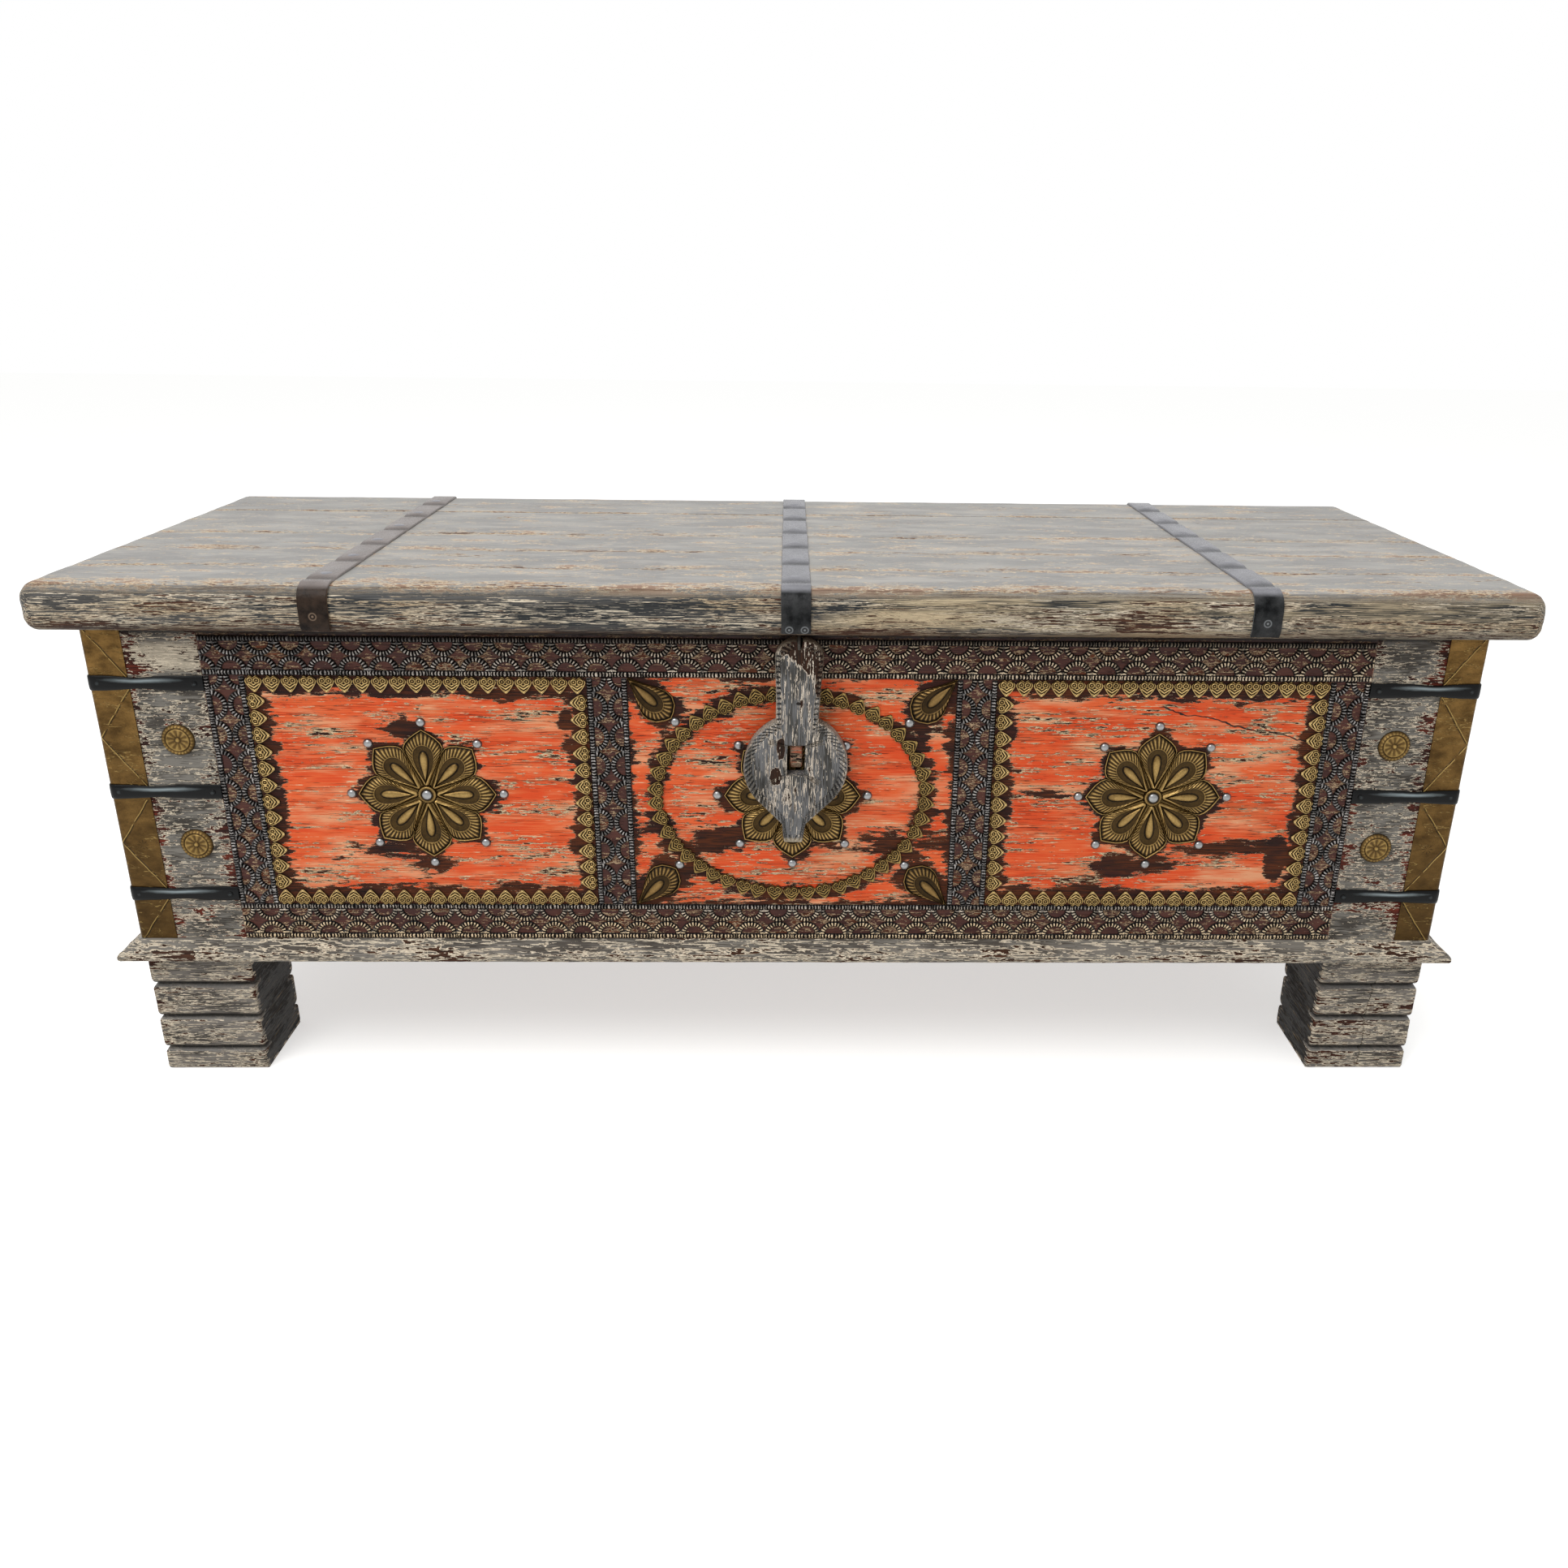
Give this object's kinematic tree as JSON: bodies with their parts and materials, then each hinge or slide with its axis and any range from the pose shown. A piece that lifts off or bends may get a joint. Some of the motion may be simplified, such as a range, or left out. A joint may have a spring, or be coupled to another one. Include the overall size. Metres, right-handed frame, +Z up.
{
  "type": "storage chest",
  "caption": "Low carved and painted storage trunk with iron fretwork, brass rosettes, a hinged lid and a hanging wooden hasp.",
  "frame": {"origin": "on the floor under the middle of the lid", "axes": "+Z up, the decorated front faces -Y, +X along the front to the right as one looks at it"},
  "size_m": [1.178, 0.418, 0.4536],
  "materials": {
    "grey_paint": "distressed grey paint over cream and brown",
    "front_paint": "distressed orange and grey paint over brown",
    "orange_paint": "distressed orange paint",
    "bare_wood": "bare hardwood",
    "black_iron": "blackened sheet iron",
    "aged_brass": "embossed brass with dark patina",
    "steel_nail": "dull domed steel",
    "hinge_steel": "plain dark steel",
    "wire": "rusty wire"
  },
  "bodies": {
    "chest": {"front_board": "front_paint", "back_board": "grey_paint", "left_end_board": "grey_paint", "right_end_board": "grey_paint", "bottom_board": "bare_wood", "foot_front_left": "grey_paint", "foot_back_left": "grey_paint", "foot_front_right": "grey_paint", "foot_back_right": "grey_paint", "base_moulding_front": "grey_paint", "base_moulding_right": "grey_paint", "base_moulding_back": "grey_paint", "base_moulding_left": "grey_paint", "corner_plate_left": "aged_brass", "corner_plate_right": "aged_brass", "corner_straps_left": "black_iron", "corner_straps_right": "black_iron", "corner_strap_nails": "black_iron", "fret_top": "black_iron", "fret_bottom": "black_iron", "fret_left": "black_iron", "fret_right": "black_iron", "fret_post_left": "black_iron", "fret_post_right": "black_iron", "heart_strip_left_bottom": "aged_brass", "heart_strip_left_top": "aged_brass", "heart_strip_left_west": "aged_brass", "heart_strip_left_east": "aged_brass", "heart_strip_right_bottom": "aged_brass", "heart_strip_right_top": "aged_brass", "heart_strip_right_west": "aged_brass", "heart_strip_right_east": "aged_brass", "heart_ring": "aged_brass", "rosette_left": "aged_brass", "rosette_middle": "aged_brass", "rosette_right": "aged_brass", "corner_leaves": "aged_brass", "dome_nails": "steel_nail", "stile_rosettes_left": "aged_brass", "stile_rosettes_right": "aged_brass", "hinge_lower_leaf_left": "hinge_steel", "hinge_lower_leaf_right": "hinge_steel", "hinge_pin_left": "hinge_steel", "hinge_pin_right": "hinge_steel", "hasp_lug": "orange_paint"},
    "lid": {"lid_plank_1": "grey_paint", "lid_plank_2": "grey_paint", "lid_plank_3": "grey_paint", "lid_plank_4": "grey_paint", "lid_batten_left": "bare_wood", "lid_batten_right": "bare_wood", "lid_strap_left": "black_iron", "lid_strap_middle": "black_iron", "lid_strap_right": "black_iron", "lid_strap_nails": "black_iron", "hinge_upper_leaf_left": "hinge_steel", "hinge_upper_leaf_right": "hinge_steel", "hasp_eye": "wire"},
    "hasp": {"hasp": "grey_paint"}
  },
  "joints": [
    {"name": "lid_hinge", "type": "hinge", "parent": "chest", "child": "lid", "pos_m": [0, 0.1954, 0.41225], "axis": [-1, 0, 0], "range_deg": [0, 105]},
    {"name": "hasp_swing", "type": "hinge", "parent": "lid", "child": "hasp", "pos_m": [0.005, -0.194, 0.4043], "axis": [-1, 0, 0], "range_deg": [0, 85]}
  ]
}
